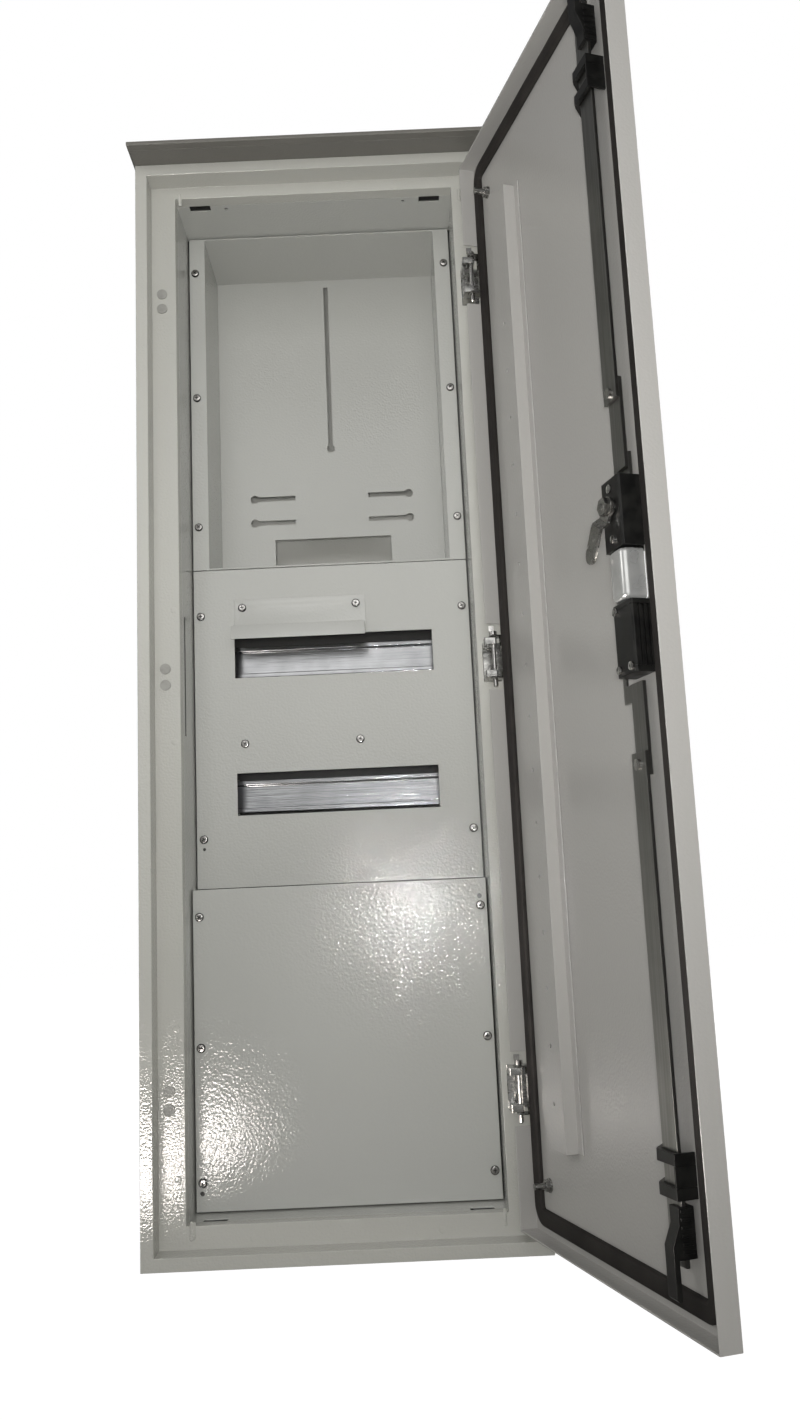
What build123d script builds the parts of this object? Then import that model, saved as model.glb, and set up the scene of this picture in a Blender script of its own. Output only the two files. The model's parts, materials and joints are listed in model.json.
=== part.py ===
from build123d import *
from math import cos, radians, sin
import os

os.makedirs("parts", exist_ok=True)

# Roadside utility cabinet. X is the width, Y runs from the front to the back, Z is up.
# The origin is the middle of the base. The front rim stands at y = -125 in the finished frame;
# every y below is counted from the rim and moved back by the shift when a piece is made.
body_width = 385.0
body_height = 1138.0
body_depth = 250.0
front_shift = body_depth / 2
sheet = 1.5

# Front frame: flat rim, step to a recessed band, return lip behind the band
rim_width = 12.5
recess_depth = 24.8
opening_half = body_width / 2 - 38.7
opening_floor = 33.8
opening_ceiling = body_height - 26.0
return_depth = 40.0
liner_depth = 128.0

# Covers inside
cover_sheet = 1.5
cover_half = opening_half - 1.3
cover_front = 102.0
pan_half = opening_half - 19.3
pan_back = body_depth - 50.0
pan_bottom = 705.6
pan_top = opening_ceiling - 1.5
device_bottom = 353.0
device_top = pan_bottom - 0.8
lower_front = 71.0
lower_bottom = opening_floor + 1.2
lower_top = device_bottom - 1.5
window_left = -108.0
window_right = 110.2
window_height = 45.7
window_bottoms = (581.0, 429.7)

# Door, in its own closed position: the pin stands on the line x = 0, y = 0
pin_x = body_width / 2 - 23.5
pin_y = 0.0
door_angle = 107.0
door_width = body_width - 45.0
door_bottom = 23.0
door_top = body_height - 23.0
door_depth = 18.0
door_sheet = 1.5
door_front = -10.2
gasket_inset = 8.0
gasket_width = 15.5
gasket_height = 3.0

# Hinges
hinge_heights = (149.0, body_height / 2, body_height - 149.0)
pin_radius = 2.4
lug_half_gap = 13.3
lug_height = 7.0
ear_sheet = 1.5
screw_half_pitch = 8.6

# Lock: the rods run behind the free edge
rod_line = door_width - 52.0
rod_width = 21.0
rod_sheet = 3.0
spindle_height = 624.0
rod_travel = 20.0
key_height = spindle_height - 116.0
upper_joint = spindle_height + 95.5
lower_joint = spindle_height - 203.5

# Canopy
canopy_half = body_width / 2 + 2.0
canopy_front = -34.0
canopy_rise = 22.0

screw_radius = 2.4
hole_radius = 2.7
head_radius = 4.6
head_height = 2.8
wall_hole_half = 150.0
wall_hole_inset = 60.0

# Gland plate in the base
gland_half = 126.0
gland_front = body_depth - 120.0
gland_back = body_depth - 16.0
gland_lap = 12.0
gland_screw_half = 119.0


def slab(x0, x1, y0, y1, z0, z1, mode=Mode.ADD):
    """A block between two corners, y counted from the rim."""
    with Locations(((x0 + x1) / 2, (y0 + y1) / 2 - front_shift, (z0 + z1) / 2)):
        Box(x1 - x0, y1 - y0, z1 - z0, mode=mode)


def rod_y(x, z, y0, y1, radius, mode=Mode.ADD):
    """A round bar along Y."""
    with Locations(Location((x, (y0 + y1) / 2 - front_shift, z), (90, 0, 0))):
        Cylinder(radius, y1 - y0, mode=mode)


def pan_screw(x, z, face, length):
    """A pan-head screw driven from the front, its head on the face."""
    rod_y(x, z, face - 0.4, face + length, screw_radius)
    with BuildSketch(Plane(origin=(x, face - front_shift, z), x_dir=(1, 0, 0), z_dir=(0, -1, 0))) as head:
        Circle(head_radius)
    extrude(head.sketch, amount=head_height, taper=14)


# Door planes: u runs from the hinge edge to the free edge, w from the door's outer face inwards
turn = radians(door_angle)
door_frame = Plane(
    origin=(pin_x, pin_y - front_shift, 0),
    x_dir=(cos(turn), sin(turn), 0),
    z_dir=(0, 0, 1),
)


def leaf_slab(u0, u1, w0, w1, z0, z1, mode=Mode.ADD):
    """A block on the door between two corners."""
    with Locations((-(u0 + u1) / 2, (w0 + w1) / 2 + door_front, (z0 + z1) / 2)):
        Box(u1 - u0, w1 - w0, z1 - z0, mode=mode)


def leaf_bar(u, z, w0, w1, radius, mode=Mode.ADD):
    """A round bar square to the door."""
    with Locations(Location((-u, (w0 + w1) / 2 + door_front, z), (90, 0, 0))):
        Cylinder(radius, w1 - w0, mode=mode)


def leaf_plane(w):
    """A drawing plane on the door: x to the free edge, y up, facing inwards."""
    along = door_frame.x_dir * -1
    out = Vector(-sin(turn), cos(turn), 0)
    return Plane(origin=door_frame.origin + out * (w + door_front), x_dir=along, z_dir=out * 1)


gland_places = [(side * gland_screw_half, y) for side in (-1, 1)
                for y in (gland_front + 6.0, (gland_front + gland_back) / 2, gland_back - 6.0)]

# sides, top, base and back
with BuildPart() as body_shell:
    half = body_width / 2
    slab(-half, half, sheet, body_depth, 0, body_height)
    slab(-half + sheet, half - sheet, 0, body_depth - sheet, sheet, body_height - sheet, Mode.SUBTRACT)
    for side in (-1, 1):
        # four holes in the back for wall fixing
        for height in (wall_hole_inset, body_height - wall_hole_inset):
            rod_y(side * wall_hole_half, height, body_depth - 4, body_depth + 1, 5.0, Mode.SUBTRACT)
    # cable opening in the base
    slab(-110, 110, gland_front + gland_lap, gland_back - gland_lap, -1, 3, Mode.SUBTRACT)
    for x, y in gland_places:
        with Locations((x, y - front_shift, 0)):
            Cylinder(hole_radius, 8, mode=Mode.SUBTRACT)
body_shell.part.label = "body_shell"
export_step(body_shell.part, "parts/body_shell.step")

# rim, step, band and return lip round the opening
with BuildPart() as front_frame:
    inner = half - rim_width
    slab(-half, half, 0, sheet, 0, body_height)
    slab(-inner - sheet, inner + sheet, 0, recess_depth + sheet, rim_width - sheet, body_height - rim_width + sheet)
    slab(-inner, inner, -1, recess_depth, rim_width, body_height - rim_width, Mode.SUBTRACT)
    slab(-opening_half - sheet, opening_half + sheet, recess_depth, return_depth, opening_floor - sheet,
         opening_ceiling + sheet)
    slab(-opening_half, opening_half, recess_depth - 1, return_depth + 1, opening_floor, opening_ceiling,
         Mode.SUBTRACT)
    for side in (-1, 1):
        # holes for the hinge screws, the same on both sides so that the door can be hung either way
        for height in hinge_heights:
            for step in (-screw_half_pitch, screw_half_pitch):
                rod_y(side * pin_x, height + step, 20, 30, 3.3, Mode.SUBTRACT)
front_frame.part.label = "front_frame"
export_step(front_frame.part, "parts/front_frame.step")

with BuildPart() as inner_liner:
    slab(-opening_half - sheet, opening_half + sheet, return_depth, liner_depth, opening_floor - sheet,
         opening_ceiling + sheet)
    slab(-opening_half, opening_half, return_depth - 1, liner_depth + 1, opening_floor, opening_ceiling,
         Mode.SUBTRACT)
    for x in (-129.0, 129.5):
        slab(x - 11.5, x + 11.5, return_depth - 1, 49.5, opening_ceiling - 2, opening_ceiling + 3, Mode.SUBTRACT)
        slab(x - 11.5, x + 11.5, return_depth - 1, 49.5, opening_floor - 3, opening_floor + 1, Mode.SUBTRACT)
    for x in (-100.0, 100.0):
        with Locations((x, 46.5 - front_shift, opening_ceiling)):
            Cylinder(2.2, 8, mode=Mode.SUBTRACT)
    for side in (-1, 1):
        middle = side * (opening_half + sheet / 2)
        slab(middle - 2, middle + 2, 49.5, 55.5, spindle_height - 113, spindle_height + 15.5, Mode.SUBTRACT)
inner_liner.part.label = "inner_liner"
export_step(inner_liner.part, "parts/inner_liner.step")

with BuildPart() as rain_canopy:
    profile = [(canopy_front, body_height + 0.2), (canopy_front, body_height + 4.5),
               (10.0, body_height + canopy_rise), (body_depth + 4, body_height + 9.0),
               (body_depth + 4, body_height - 8.0), (body_depth + 2.4, body_height - 8.0),
               (body_depth + 2.4, body_height + 7.4), (10.0, body_height + canopy_rise - 1.6),
               (canopy_front + 1.6, body_height + 3.2), (canopy_front + 1.6, body_height + 1.8),
               (canopy_front + 9.0, body_height + 1.8), (canopy_front + 9.0, body_height + 0.2)]
    with BuildSketch(Plane(origin=(-canopy_half, -front_shift, 0), x_dir=(0, 1, 0), z_dir=(1, 0, 0))) as section:
        with BuildLine():
            Polyline(*profile, close=True)
        make_face()
    extrude(section.sketch, amount=2 * canopy_half)
    # floor of the canopy, resting on the cabinet's top
    slab(-canopy_half + 1.4, canopy_half - 1.4, canopy_front + 9, body_depth + 2.4, body_height,
         body_height + 1.6)
    # end plates
    for side in (-1, 1):
        with BuildSketch(Plane(origin=(side * canopy_half - 0.8 * (1 + side), -front_shift, 0), x_dir=(0, 1, 0),
                               z_dir=(1, 0, 0))) as end:
            with BuildLine():
                Polyline((canopy_front, body_height + 0.2), (canopy_front, body_height + 4.5),
                         (10.0, body_height + canopy_rise), (body_depth + 4, body_height + 9.0),
                         (body_depth + 4, body_height + 0.2), close=True)
            make_face()
        extrude(end.sketch, amount=1.6)
rain_canopy.part.label = "rain_canopy"
export_step(rain_canopy.part, "parts/rain_canopy.step")

with BuildPart() as hinge_hole_plugs:
    for height in hinge_heights:
        for step in (-screw_half_pitch, screw_half_pitch):
            rod_y(-pin_x, height + step, recess_depth - 1.2, recess_depth, 5.6)
            rod_y(-pin_x, height + step, recess_depth, recess_depth + 5, 3.0)
hinge_hole_plugs.part.label = "hinge_hole_plugs"
export_step(hinge_hole_plugs.part, "parts/hinge_hole_plugs.step")

pan_screw_places = [(side * (cover_half - 6.9), z) for side in (-1, 1)
                    for z in (pan_top - 43.7, pan_bottom + 205.4, pan_bottom + 50.4)]
device_screw_places = [(side * (cover_half - 7.7), z) for side in (-1, 1)
                       for z in (device_top - 52.8, device_bottom + 52.5)]
spare_screw_places = [(x, window_bottoms[1] + 77.8) for x in (-98.5, 27.0)]
hood_screw_places = [(x, window_bottoms[0] + 79.0) for x in (-98.6, 27.4)]
lower_screw_places = [(side * (cover_half - 7.0), z) for side in (-1, 1)
                      for z in (lower_top - 28.0, lower_bottom + 157.5, lower_bottom + 27.7)]

# side rails that carry the pan and the device cover
rail_low = opening_floor + 2.2
rail_high = opening_ceiling - 2.0
for side, name in ((-1, "cover_rail_left"), (1, "cover_rail_right")):
    with BuildPart() as rail:
        low, high = sorted((side * (pan_half + 3.1), side * opening_half))
        slab(low, high, cover_front + cover_sheet, cover_front + 2 * cover_sheet, rail_low, rail_high)
        low, high = sorted((side * (opening_half - 1.5), side * opening_half))
        slab(low, high, cover_front + cover_sheet, cover_front + 30, rail_low, rail_high)
        for x, z in pan_screw_places + device_screw_places:
            if x * side > 0:
                rod_y(x, z, cover_front - 2, cover_front + 6, hole_radius, Mode.SUBTRACT)
    rail.part.label = name
    export_step(rail.part, "parts/" + name + ".step")

# posts that carry the raised lower cover
for side, name in ((-1, "lower_post_left"), (1, "lower_post_right")):
    with BuildPart() as post:
        low, high = sorted((side * (cover_half - 13.9), side * (cover_half - 2.1)))
        bottom, top = lower_bottom + 7.0, lower_top - 6.5
        slab(low, high, lower_front + cover_sheet, cover_front + cover_sheet, bottom, top)
        slab(low + 1.5, high - 1.5, lower_front + 2 * cover_sheet, cover_front + cover_sheet + 1, bottom - 1, top + 1,
             Mode.SUBTRACT)
        for x, z in lower_screw_places:
            if x * side > 0:
                rod_y(x, z, lower_front - 1, lower_front + 5, hole_radius, Mode.SUBTRACT)
    post.part.label = name
    export_step(post.part, "parts/" + name + ".step")

with BuildPart() as meter_pan:
    slab(-cover_half, cover_half, cover_front, cover_front + cover_sheet, pan_bottom, pan_top)
    slab(-pan_half - cover_sheet, pan_half + cover_sheet, cover_front, pan_back + cover_sheet,
         pan_bottom + 0.6, pan_top - 0.4)
    slab(-pan_half, pan_half, cover_front - 1, pan_back, pan_bottom + 2.1, pan_top - 1.9, Mode.SUBTRACT)
    for x, z in pan_screw_places:
        rod_y(x, z, cover_front - 2, cover_front + 4, hole_radius, Mode.SUBTRACT)
    # vertical slot with a keyhole end
    slab(1 - 2.6, 1 + 2.6, pan_back - 1, pan_back + 3, pan_top - 226.5, pan_top - 11.5, Mode.SUBTRACT)
    rod_y(1, pan_top - 226.5, pan_back - 1, pan_back + 3, 5.0, Mode.SUBTRACT)
    # two pairs of level keyhole slots
    for side in (-1, 1):
        low, high = sorted((side * 44.4, side * 93.8))
        for z in (pan_bottom + 116.9, pan_bottom + 86.4):
            slab(low, high, pan_back - 1, pan_back + 3, z - 2.9, z + 2.9, Mode.SUBTRACT)
            rod_y(side * 93.8, z, pan_back - 1, pan_back + 3, 5.2, Mode.SUBTRACT)
    # cable window
    slab(-70, 70, pan_back - 1, pan_back + 3, pan_bottom + 14.4, pan_bottom + 64.4, Mode.SUBTRACT)
meter_pan.part.label = "meter_pan"
export_step(meter_pan.part, "parts/meter_pan.step")

with BuildPart() as device_cover:
    slab(-cover_half, cover_half, cover_front, cover_front + cover_sheet, device_bottom, device_top)
    for z in window_bottoms:
        slab(window_left, window_right, cover_front - 2, cover_front + 4, z, z + window_height, Mode.SUBTRACT)
    for x, z in device_screw_places + spare_screw_places + hood_screw_places:
        rod_y(x, z, cover_front - 2, cover_front + 4, hole_radius, Mode.SUBTRACT)
    rod_y(7.9 - cover_half, device_bottom + 42.0, cover_front - 2, cover_front + 4, 1.7, Mode.SUBTRACT)
device_cover.part.label = "device_cover"
export_step(device_cover.part, "parts/device_cover.step")

with BuildPart() as lower_cover:
    edge = cover_half - 0.1
    slab(-edge, edge, lower_front, cover_front - 0.3, lower_bottom, lower_top)
    slab(-edge + cover_sheet, edge - cover_sheet, lower_front + cover_sheet, cover_front + 1,
         lower_bottom + cover_sheet, lower_top - cover_sheet, Mode.SUBTRACT)
    for x, z in lower_screw_places:
        rod_y(x, z, lower_front - 1, lower_front + 3, hole_radius, Mode.SUBTRACT)
    rod_y(cover_half - 7.5, lower_top - 18.5, lower_front - 1, lower_front + 3, 2.4, Mode.SUBTRACT)
    rod_y(6.2 - cover_half, lower_bottom + 17.4, lower_front - 1, lower_front + 3, 2.4, Mode.SUBTRACT)
lower_cover.part.label = "lower_cover"
export_step(lower_cover.part, "parts/lower_cover.step")

with BuildPart() as sealing_hood:
    fold = window_bottoms[0] + 55.0
    slab(-107.7, 38.0, cover_front - 1.2, cover_front, fold, fold + 34.0)
    slab(-109.3, 37.0, cover_front - 14.0, cover_front - 12.8, fold - 15.5, fold + 1.2)
    slab(-109.3, 37.0, cover_front - 14.0, cover_front, fold, fold + 1.2)
    for x, z in hood_screw_places:
        rod_y(x, z, cover_front - 4, cover_front + 4, hole_radius, Mode.SUBTRACT)
sealing_hood.part.label = "sealing_hood"
export_step(sealing_hood.part, "parts/sealing_hood.step")

screw_sets = (
    ("pan_screws", pan_screw_places, cover_front, 9.0),
    ("device_cover_screws", device_screw_places + spare_screw_places, cover_front, 9.0),
    ("hood_screws", hood_screw_places, cover_front - 1.2, 8.0),
    ("lower_cover_screws", lower_screw_places, lower_front, 9.0),
)
for name, places, face, length in screw_sets:
    with BuildPart() as screws:
        for x, z in places:
            pan_screw(x, z, face, length)
    screws.part.label = name
    export_step(screws.part, "parts/" + name + ".step")

# top-hat rails behind the windows, on brackets from the side rails
rail_centres = [z + window_height / 2 for z in window_bottoms]
rail_half = pan_half + 0.5
for centre, name in zip(rail_centres, ("din_rail_upper", "din_rail_lower")):
    with BuildPart() as hat:
        with BuildSketch(Plane(origin=(-rail_half, -front_shift, centre), x_dir=(0, 1, 0), z_dir=(1, 0, 0))) as section:
            with BuildLine():
                Polyline((128.0, -17.5), (129.2, -17.5), (129.2, -13.7), (135.5, -13.7), (135.5, 13.7),
                         (129.2, 13.7), (129.2, 17.5), (128.0, 17.5), (128.0, 12.5), (134.3, 12.5),
                         (134.3, -12.5), (128.0, -12.5), close=True)
            make_face()
        extrude(section.sketch, amount=2 * rail_half)
        for x in (15.0 - rail_half, rail_half - 15.0):
            rod_y(x, centre, 130, 140, 2.7, Mode.SUBTRACT)
    hat.part.label = name
    export_step(hat.part, "parts/" + name + ".step")

with BuildPart() as rail_brackets:
    for side in (-1, 1):
        for centre in rail_centres:
            low, high = sorted((side * (rail_half - 25.0), side * (opening_half - 1.5)))
            slab(low, high, 135.5, 137.5, centre - 20, centre + 20)
            low, high = sorted((side * (opening_half - 3.5), side * (opening_half - 1.5)))
            slab(low, high, 106.0, 137.5, centre - 20, centre + 20)
            rod_y(side * (rail_half - 15.0), centre, 134, 140, 2.7, Mode.SUBTRACT)
rail_brackets.part.label = "rail_brackets"
export_step(rail_brackets.part, "parts/rail_brackets.step")

with BuildPart() as rail_screws:
    for centre in rail_centres:
        for x in (15.0 - rail_half, rail_half - 15.0):
            pan_screw(x, centre, 134.3, 8.0)
rail_screws.part.label = "rail_screws"
export_step(rail_screws.part, "parts/rail_screws.step")

with BuildPart() as gland_gasket:
    slab(-gland_half, gland_half, gland_front, gland_back, sheet, sheet + 2.0)
    slab(-109, 109, gland_front + 13, gland_back - 13, 0, 8, Mode.SUBTRACT)
    for x, y in gland_places:
        with Locations((x, y - front_shift, 3)):
            Cylinder(hole_radius, 8, mode=Mode.SUBTRACT)
gland_gasket.part.label = "gland_gasket"
export_step(gland_gasket.part, "parts/gland_gasket.step")

with BuildPart() as gland_plate:
    slab(-gland_half, gland_half, gland_front, gland_back, sheet + 2.0, sheet + 4.0)
    for x, y in gland_places:
        with Locations((x, y - front_shift, 3)):
            Cylinder(hole_radius, 8, mode=Mode.SUBTRACT)
gland_plate.part.label = "gland_plate"
export_step(gland_plate.part, "parts/gland_plate.step")

with BuildPart() as gland_screws:
    for x, y in gland_places:
        with Locations((x, y - front_shift, 3.6)):
            Cylinder(screw_radius, 6.0)
        with Locations((x, y - front_shift, sheet + 4.0 + head_height / 2)):
            Cylinder(head_radius, head_height)
gland_screws.part.label = "gland_screws"
export_step(gland_screws.part, "parts/gland_screws.step")

# hinges
level_names = ("lower", "middle", "upper")
lug_reach = 4.2
for height, level in zip(hinge_heights, level_names):
    with BuildPart() as bracket:
        slab(pin_x - 10.0, pin_x + 8.5, recess_depth - 3.0, recess_depth, height - 20.3, height + 20.3)
        for side in (-1, 1):
            low, high = sorted((side * lug_half_gap, side * (lug_half_gap + lug_height)))
            slab(pin_x - 9.5, pin_x, pin_y - lug_reach, recess_depth, height + low, height + high)
            slab(pin_x, pin_x + 3.0, pin_y - lug_reach, recess_depth, height + low, height + high)
        with BuildSketch(Plane.XY.offset(height - 30)) as bore:
            with Locations((pin_x, pin_y - front_shift)):
                Circle(pin_radius + 0.1)
        extrude(bore.sketch, amount=60, mode=Mode.SUBTRACT)
        for step in (-screw_half_pitch, screw_half_pitch):
            rod_y(pin_x, height + step, 20, 30, 3.3, Mode.SUBTRACT)
        fillet(bracket.edges().filter_by(Axis.Z).group_by(Axis.Y)[0], 1.6)
    bracket.part.label = "hinge_bracket_" + level
    export_step(bracket.part, "parts/hinge_bracket_" + level + ".step")

    with BuildPart(door_frame) as leaf:
        leaf_slab(0.4, 7.4, door_sheet, door_sheet + 2.0, height - 22.3, height + 22.3)
        for side in (-1, 1):
            low, high = sorted((side * 20.8, side * (20.8 + ear_sheet)))
            leaf_slab(-4.2, 7.4, door_sheet, 14.4, height + low, height + high)
        with BuildSketch(door_frame.offset(height - 30)) as bore:
            Circle(pin_radius + 0.08)
        extrude(bore.sketch, amount=60, mode=Mode.SUBTRACT)
    leaf.part.label = "hinge_leaf_" + level
    export_step(leaf.part, "parts/hinge_leaf_" + level + ".step")

with BuildPart() as hinge_pins:
    for height in hinge_heights:
        with Locations((pin_x, pin_y - front_shift, height - 30.0)):
            Cone(1.4, pin_radius, 1.0)
        with BuildSketch(Plane.XY.offset(height - 29.5)) as round_bar:
            with Locations((pin_x, pin_y - front_shift)):
                Circle(pin_radius)
        extrude(round_bar.sketch, amount=56.5)
        with BuildSketch(Plane.XY.offset(height + 22.9)) as collar:
            with Locations((pin_x, pin_y - front_shift)):
                Circle(3.9)
        extrude(collar.sketch, amount=4.0)
        with BuildSketch(Plane.XY.offset(height + 26.9)) as neck:
            with Locations((pin_x - 1.6, pin_y - front_shift)):
                Rectangle(5.4, 2.6)
        extrude(neck.sketch, amount=5.5)
hinge_pins.part.label = "hinge_pins"
export_step(hinge_pins.part, "parts/hinge_pins.step")

with BuildPart() as hinge_screws:
    for height in hinge_heights:
        for step in (-screw_half_pitch, screw_half_pitch):
            rod_y(pin_x, height + step, recess_depth - 3.4, recess_depth + 8, 2.9)
            rod_y(pin_x, height + step, recess_depth - 6.4, recess_depth - 3.0, 4.4)
            rod_y(pin_x, height + step, recess_depth - 7.0, recess_depth - 4.6, 2.4, Mode.SUBTRACT)
hinge_screws.part.label = "hinge_screws"
export_step(hinge_screws.part, "parts/hinge_screws.step")

# door
case_low = spindle_height - 34.0
case_high = spindle_height + 23.5
dish_low = spindle_height - 76.5
dish_high = spindle_height - 34.3
clamp_low = spindle_height - 134.5
clamp_high = spindle_height - 77.0
plate_low = spindle_height - 140.0
plate_high = spindle_height + 31.0
with BuildPart(door_frame) as door_panel:
    leaf_slab(0, door_width, 0, door_depth, door_bottom, door_top)
    leaf_slab(door_sheet, door_width - door_sheet, door_sheet, door_depth + 1, door_bottom + door_sheet,
              door_top - door_sheet, Mode.SUBTRACT)
    for height in hinge_heights:
        leaf_slab(-1, 8, door_sheet, door_depth + 1, height - 33, height + 35, Mode.SUBTRACT)
    # opening for the handle
    leaf_slab(rod_line - 12, rod_line + 12, -1, 3, clamp_low + 8, case_high - 8, Mode.SUBTRACT)
door_panel.part.label = "door_panel"
export_step(door_panel.part, "parts/door_panel.step")

with BuildPart(door_frame) as door_gasket:
    with BuildSketch(leaf_plane(door_sheet)) as ring:
        with Locations((door_width / 2, (door_bottom + door_top) / 2)):
            RectangleRounded(door_width - 2 * gasket_inset, door_top - door_bottom - 2 * gasket_inset, 11)
            RectangleRounded(door_width - 2 * gasket_inset - 2 * gasket_width,
                             door_top - door_bottom - 2 * gasket_inset - 2 * gasket_width, 5, mode=Mode.SUBTRACT)
    extrude(ring.sketch, amount=gasket_height)
door_gasket.part.label = "door_gasket"
export_step(door_gasket.part, "parts/door_gasket.step")

stiffener_low = door_bottom + 85.0
stiffener_high = door_top - 89.0
stiffener_pitch = 49.2
hole_count = int((stiffener_high - stiffener_low - 120.0) // stiffener_pitch)
with BuildPart(door_frame) as door_stiffener:
    leaf_slab(69.5, 107.5, door_sheet, 14.5, stiffener_low, stiffener_high)
    leaf_slab(71, 106, door_sheet - 1, 13.0, stiffener_low - 1, stiffener_high + 1, Mode.SUBTRACT)
    leaf_slab(61, 71, door_sheet, door_sheet + 1.5, stiffener_low, stiffener_high)
    leaf_slab(106, 116, door_sheet, door_sheet + 1.5, stiffener_low, stiffener_high)
    for step in range(hole_count):
        leaf_bar(88.5, stiffener_low + 40.0 + stiffener_pitch * step, 12, 16, 2.0, Mode.SUBTRACT)
door_stiffener.part.label = "door_stiffener"
export_step(door_stiffener.part, "parts/door_stiffener.step")

with BuildPart(door_frame) as door_studs:
    for height in (door_bottom + 46.3, door_top - 50.6):
        leaf_bar(38.0, height, door_sheet, 17.0, 2.9)
        leaf_bar(38.0, height, door_sheet, door_sheet + 1.4, 6.2)
        with BuildSketch(leaf_plane(door_sheet + 1.4)) as nut:
            with Locations((38.0, height)):
                RegularPolygon(5.6, 6)
        extrude(nut.sketch, amount=3.6)
door_studs.part.label = "door_studs"
export_step(door_studs.part, "parts/door_studs.step")

with BuildPart(door_frame) as handle_escutcheon:
    with BuildSketch(leaf_plane(0)) as outline:
        with Locations((rod_line, (plate_low + plate_high) / 2)):
            RectangleRounded(38, plate_high - plate_low, 6)
    extrude(outline.sketch, amount=-4.0)
    with BuildSketch(leaf_plane(0)) as window:
        with Locations((rod_line, (dish_low + dish_high) / 2)):
            RectangleRounded(21.2, dish_high - dish_low - 2.4, 4)
    extrude(window.sketch, amount=-5.0, mode=Mode.SUBTRACT)
    leaf_bar(rod_line, spindle_height, -5, 1, 9.4, Mode.SUBTRACT)
    leaf_bar(rod_line, key_height, -5, 1, 8.3, Mode.SUBTRACT)
handle_escutcheon.part.label = "handle_escutcheon"
export_step(handle_escutcheon.part, "parts/handle_escutcheon.step")

with BuildPart(door_frame) as handle_dish:
    leaf_slab(rod_line - 11.9, rod_line + 11.9, 0, 21.0, dish_low + 0.3, dish_high - 0.3)
    fillet(handle_dish.edges().filter_by(Axis.Z), 5.0)
    leaf_slab(rod_line - 10.6, rod_line + 10.6, -1, 19.7, dish_low + 1.5, dish_high - 1.5, Mode.SUBTRACT)
    leaf_slab(rod_line - 12.9, rod_line + 12.9, door_sheet, 4.0, dish_low + 0.3, dish_high - 0.3)
    leaf_slab(rod_line - 10.6, rod_line + 10.6, -1, 6, dish_low + 1.5, dish_high - 1.5, Mode.SUBTRACT)
handle_dish.part.label = "handle_dish"
export_step(handle_dish.part, "parts/handle_dish.step")

clamp_places = [(rod_line - 9.6, clamp_high - 5.5), (rod_line - 9.6, clamp_low + 5.5),
                (rod_line + 9.6, clamp_low + 5.5)]
with BuildPart(door_frame) as handle_clamp:
    leaf_slab(rod_line - 15.5, rod_line + 15.5, door_sheet, 18.0, clamp_low, clamp_high)
    leaf_slab(rod_line - 9.0, rod_line + 15.6, 10.0, 18.1, clamp_low + 12, clamp_high - 12, Mode.SUBTRACT)
    for step in range(4):
        rib = rod_line - 7.0 + 6.0 * step
        leaf_slab(rib, rib + 2.6, 9.0, 17.4, clamp_low + 11, clamp_high - 11)
    for u, z in clamp_places:
        leaf_bar(u, z, 8, 19, 1.9, Mode.SUBTRACT)
    leaf_bar(rod_line, key_height, 0, 9.5, 8.3, Mode.SUBTRACT)
handle_clamp.part.label = "handle_clamp"
export_step(handle_clamp.part, "parts/handle_clamp.step")

case_places = [(rod_line - 1.0, case_high - 8.0), (rod_line - 1.0, case_low + 8.0)]
with BuildPart(door_frame) as lock_case:
    leaf_slab(rod_line - 15.8, rod_line + 14.2, door_sheet, 20.0, case_low, case_high)
    across = Axis(door_frame.origin, (-sin(turn), cos(turn), 0))
    chamfer(lock_case.edges().filter_by(Axis.Z).group_by(across)[-1], 1.2)
    leaf_bar(rod_line, spindle_height, -1, 22, 6.3, Mode.SUBTRACT)
    # channel in which the link bars slide
    leaf_slab(rod_line - 10.8, rod_line + 10.8, 4.2, 8.0, case_low - 1, case_high + 1, Mode.SUBTRACT)
    leaf_slab(rod_line - 17.0, rod_line - 8.6, 8.0, 10.8, case_low - 1, spindle_height - 3.0, Mode.SUBTRACT)
    for u, z in case_places:
        leaf_bar(u, z, 10, 21, 1.9, Mode.SUBTRACT)
lock_case.part.label = "lock_case"
export_step(lock_case.part, "parts/lock_case.step")

# guides for the rods: a bridge over the rod with two sharp gussets towards the hinge side
guide_levels = (("rod_guide_lower", door_bottom + 88.0), ("rod_guide_upper", door_top - 131.0))
guide_tall = 33.0
for name, low in guide_levels:
    with BuildPart(door_frame) as guide:
        leaf_slab(rod_line - 14.0, rod_line + 13.2, door_sheet, 18.5, low, low + guide_tall)
        leaf_slab(rod_line - rod_width / 2 - 0.5, rod_line + rod_width / 2 + 0.5, 10.6, 14.4, low - 1,
                  low + guide_tall + 1, Mode.SUBTRACT)
        for start in (low, low + guide_tall - 9.0):
            with BuildSketch(door_frame.offset(start)) as gusset:
                with BuildLine():
                    Polyline((-(rod_line - 13.0), door_front + door_sheet), (-(rod_line - 13.0), door_front + 16.0),
                             (-(rod_line - 24.0), door_front + 9.5), (-(rod_line - 45.0), door_front + 5.0),
                             (-(rod_line - 47.0), door_front + door_sheet), close=True)
                make_face()
            extrude(gusset.sketch, amount=9.0)
        leaf_bar(rod_line - 38.0, low + 4.5, 0, 9, 1.9, Mode.SUBTRACT)
        leaf_bar(rod_line - 38.0, low + guide_tall - 4.5, 0, 9, 1.9, Mode.SUBTRACT)
    guide.part.label = name
    export_step(guide.part, "parts/" + name + ".step")

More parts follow.
